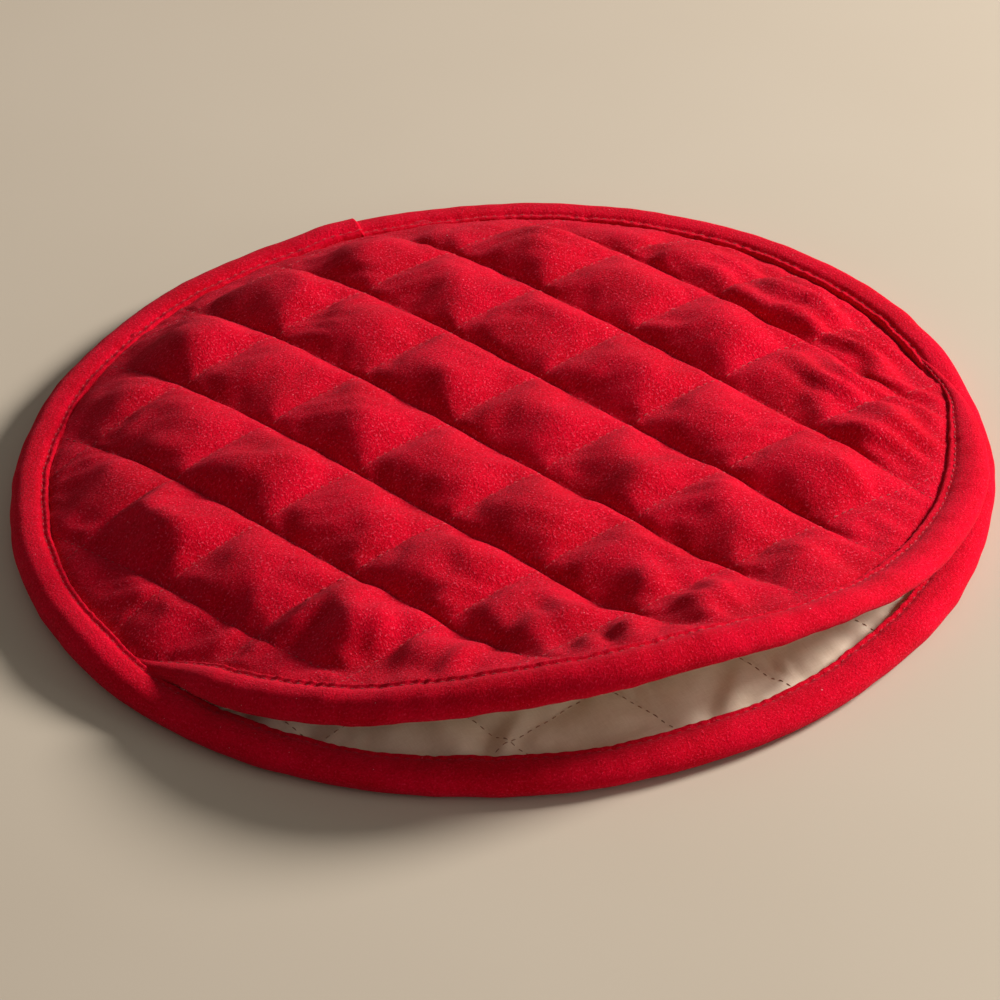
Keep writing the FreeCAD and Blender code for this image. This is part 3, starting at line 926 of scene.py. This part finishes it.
def mouth_binding_tape():
    """Tape along the lip, and the points of its sections."""
    rings, arc = lip_rings(np.linspace(LIP[0, 0], LIP[-1, 0], 520))
    piece = tube("mouth_binding_tape", rings, arc, False, tape_cloth)
    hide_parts("mouth_binding", "upper_seam_allowance_flap")
    return piece, rings


def stitching(name, places, material, slot, *nodes):
    """Stitches at their places, which replace the solids' rods."""
    piece = threads(name, *places, material)
    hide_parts(*nodes)
    return piece


upper_shell = upper_quilted_shell()
upper_lining = upper_lining_sheet()
lower_shell = lower_quilted_shell()
lower_lining = lower_lining_sheet()
rim_tape, rim_line = rim_binding_tape()
lip_tape, lip_line = mouth_binding_tape()
upper_stitches = stitching(
    "upper_quilting_thread", quilting_places(UPPER_FIRST, upper_top, upper_edge, -0.02, 1),
    red_thread, "red_thread", "upper_shell_stitches_back", "upper_shell_stitches_flap")
inside_stitches = stitching(
    "upper_lining_thread", quilting_places(UPPER_FIRST, upper_lining_face, upper_edge, -0.1, -1),
    tan_thread, "lining_thread", "upper_lining_stitches_back", "upper_lining_stitches_flap")
lower_stitches = stitching(
    "lower_lining_thread", quilting_places(LOWER_FIRST, lower_top, lower_edge, 0.1, 1),
    tan_thread, "lining_thread", "lower_lining_stitches")
under_stitches = stitching(
    "lower_quilting_thread", quilting_places(LOWER_FIRST, lower_under, lower_edge, -0.1, -1),
    red_thread, "red_thread", "lower_shell_stitches")
rim_stitches = stitching("rim_binding_thread", tape_places(rim_line, 0.0),
                         red_thread, "red_thread", "rim_binding_stitches")
lip_stitches = stitching("mouth_binding_thread", tape_places(lip_line, 0.05),
                         red_thread, "red_thread", "mouth_binding_stitches")

crosses_fold(upper_shell, upper_lining, upper_stitches, inside_stitches, lip_tape, lip_stitches)
for piece in (lower_shell, lower_lining, lower_stitches, under_stitches, rim_tape, rim_stitches):
    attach(piece, "pouch")


# Floor, light and camera


def area_light(name, place, aim, size, power, tint):
    """Round lamp at a place, turned to its aim."""
    lamp = bpy.data.lights.new(name, "AREA")
    lamp.shape, lamp.size, lamp.energy, lamp.color = "DISK", size, power, tint
    light = bpy.data.objects.new(name, lamp)
    light.location = place
    light.rotation_euler = (Vector(aim) - Vector(place)).to_track_quat("-Z", "Y").to_euler()
    bpy.context.scene.collection.objects.link(light)


floor_finish = Finish("pale_floor")
floor_grain = floor_finish.noise(floor_finish.place, scale=6, detail=3, roughness=0.5)
floor_base = floor_finish.mix(floor_grain, colour(190, 176, 157), colour(197, 184, 166))
floor_finish.set(Base_Color=floor_base, Roughness=0.75, Specular_IOR_Level=0.2)
bpy.ops.mesh.primitive_plane_add(size=8, location=(0, 0, 0))
floor = bpy.context.active_object
floor.name = "floor"
floor.data.materials.append(floor_finish.material)

area_light("key_light", place=(1.84, -0.34, 0.95), aim=(0, 0, 0.01), size=0.66, power=84,
           tint=(1.0, 0.97, 0.94))
area_light("fill_light", place=(-1.0, -1.4, 1.8), aim=(0, 0, 0), size=1.8, power=2,
           tint=(0.96, 0.98, 1.0))
area_light("mouth_light", place=(0.9, -1.5, 0.42), aim=(0, -0.1, 0.01), size=0.8, power=6,
           tint=(1.0, 0.97, 0.93))

world = bpy.data.worlds.new("studio")
world.use_nodes = True
background = world.node_tree.nodes["Background"]
background.inputs["Color"].default_value = colour(236, 233, 226)
background.inputs["Strength"].default_value = 0.21
bpy.context.scene.world = world

# The camera looks from its azimuth and elevation at the object's middle, shifted a little in
# its own picture
CAMERA_AZIMUTH, CAMERA_ELEVATION = math.radians(-27.9), math.radians(36.09)
CAMERA_ROLL, CAMERA_DISTANCE, LENS = math.radians(-2.89), 1.6267, 188.4
AIM_RIGHT, AIM_UP = -0.00055, -0.00232
back = Vector((math.sin(CAMERA_AZIMUTH) * math.cos(CAMERA_ELEVATION),
               -math.cos(CAMERA_AZIMUTH) * math.cos(CAMERA_ELEVATION), math.sin(CAMERA_ELEVATION)))
level = Vector((math.cos(CAMERA_AZIMUTH), math.sin(CAMERA_AZIMUTH), 0))
upright = back.cross(level)
right = level * math.cos(CAMERA_ROLL) + upright * math.sin(CAMERA_ROLL)
up = upright * math.cos(CAMERA_ROLL) - level * math.sin(CAMERA_ROLL)
eye = back * CAMERA_DISTANCE
back = (eye - right * AIM_RIGHT - up * AIM_UP).normalized()
right = up.cross(back).normalized()
up = back.cross(right)
lens = bpy.data.cameras.new("camera")
lens.lens, lens.sensor_width, lens.clip_start, lens.clip_end = LENS, 36.0, 0.05, 50.0
camera = bpy.data.objects.new("camera", lens)
camera.matrix_world = Matrix((right, up, back)).transposed().to_4x4()
camera.location = eye
bpy.context.scene.collection.objects.link(camera)
bpy.context.scene.camera = camera
bpy.context.scene.view_settings.view_transform = "Standard"
